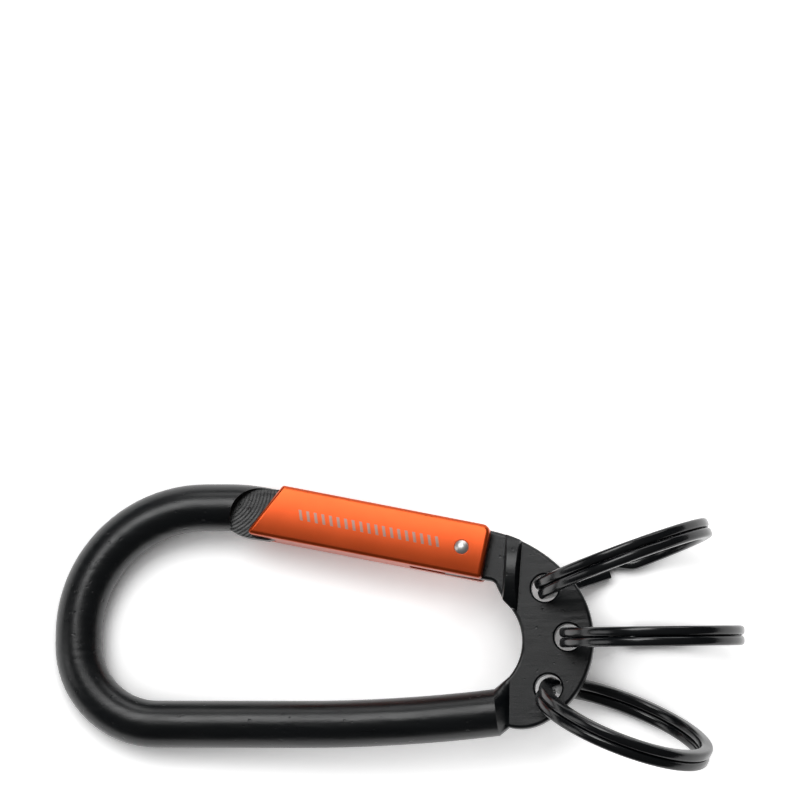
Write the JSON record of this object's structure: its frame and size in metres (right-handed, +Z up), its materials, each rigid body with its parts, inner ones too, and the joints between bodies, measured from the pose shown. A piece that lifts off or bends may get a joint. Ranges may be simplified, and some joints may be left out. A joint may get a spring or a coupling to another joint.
{
  "type": "carabiner keyring",
  "caption": "Asymmetric D carabiner of round bar with a sprung orange gate and a pressed crescent end plate that carries a fan of black split rings.",
  "frame": {"origin": "on the surface the keyring lies on, below the middle of its bounding box", "axes": "+X along the D from its big end to the split rings, +Y from the spine to the gate, +Z up; the D is tilted 5.4 degrees about Y because the split rings hold up the plate end"},
  "size_m": [0.102, 0.0432, 0.0274],
  "materials": {
    "frame_black": "black anodised, semi-matte",
    "gate_orange": "orange anodised, satin",
    "bright_steel": "bright",
    "ring_black": "gloss black"
  },
  "bodies": {
    "frame": {"frame": "frame_black"},
    "gate": {"gate": "gate_orange", "gate_rivet": "bright_steel", "gate_spring": "bright_steel"},
    "plunger": {"gate_plunger": "bright_steel"},
    "ring_top": {"split_ring_top": "ring_black"},
    "ring_middle": {"split_ring_middle": "ring_black"},
    "ring_bottom": {"split_ring_bottom": "ring_black"}
  },
  "joints": [
    {"name": "gate_hinge", "type": "hinge", "parent": "frame", "child": "gate", "pos_m": [0.00957, 0.01178, 0.0089], "axis": [-0.0941, 0, 0.9956], "range_deg": [0, 40], "stiffness_Nm_per_rad": 0.01, "springref_deg": -28.65},
    {"name": "plunger_slide", "type": "slide", "parent": "gate", "child": "plunger", "axis": [-0.9773, 0.1908, -0.0924], "range_m": [0, 0.0013], "deforming": ["gate_spring"]},
    {"name": "ring_top_swing", "type": "hinge", "parent": "frame", "child": "ring_top", "pos_m": [0.02169, 0.00597, 0.01005], "axis": [-0.0941, 0, 0.9956], "range_deg": [-12, 75]},
    {"name": "ring_middle_swing", "type": "hinge", "parent": "frame", "child": "ring_middle", "pos_m": [0.02515, -0.00128, 0.01037], "axis": [-0.0941, 0, 0.9956], "range_deg": [-12, 12]},
    {"name": "ring_bottom_swing", "type": "hinge", "parent": "frame", "child": "ring_bottom", "pos_m": [0.02231, -0.00879, 0.0101], "axis": [-0.0941, 0, 0.9956], "range_deg": [-75, 12]}
  ],
  "couplings": [
    {"joint": "plunger_slide", "follows": "gate_hinge", "m_per_rad": 0.0018}
  ]
}
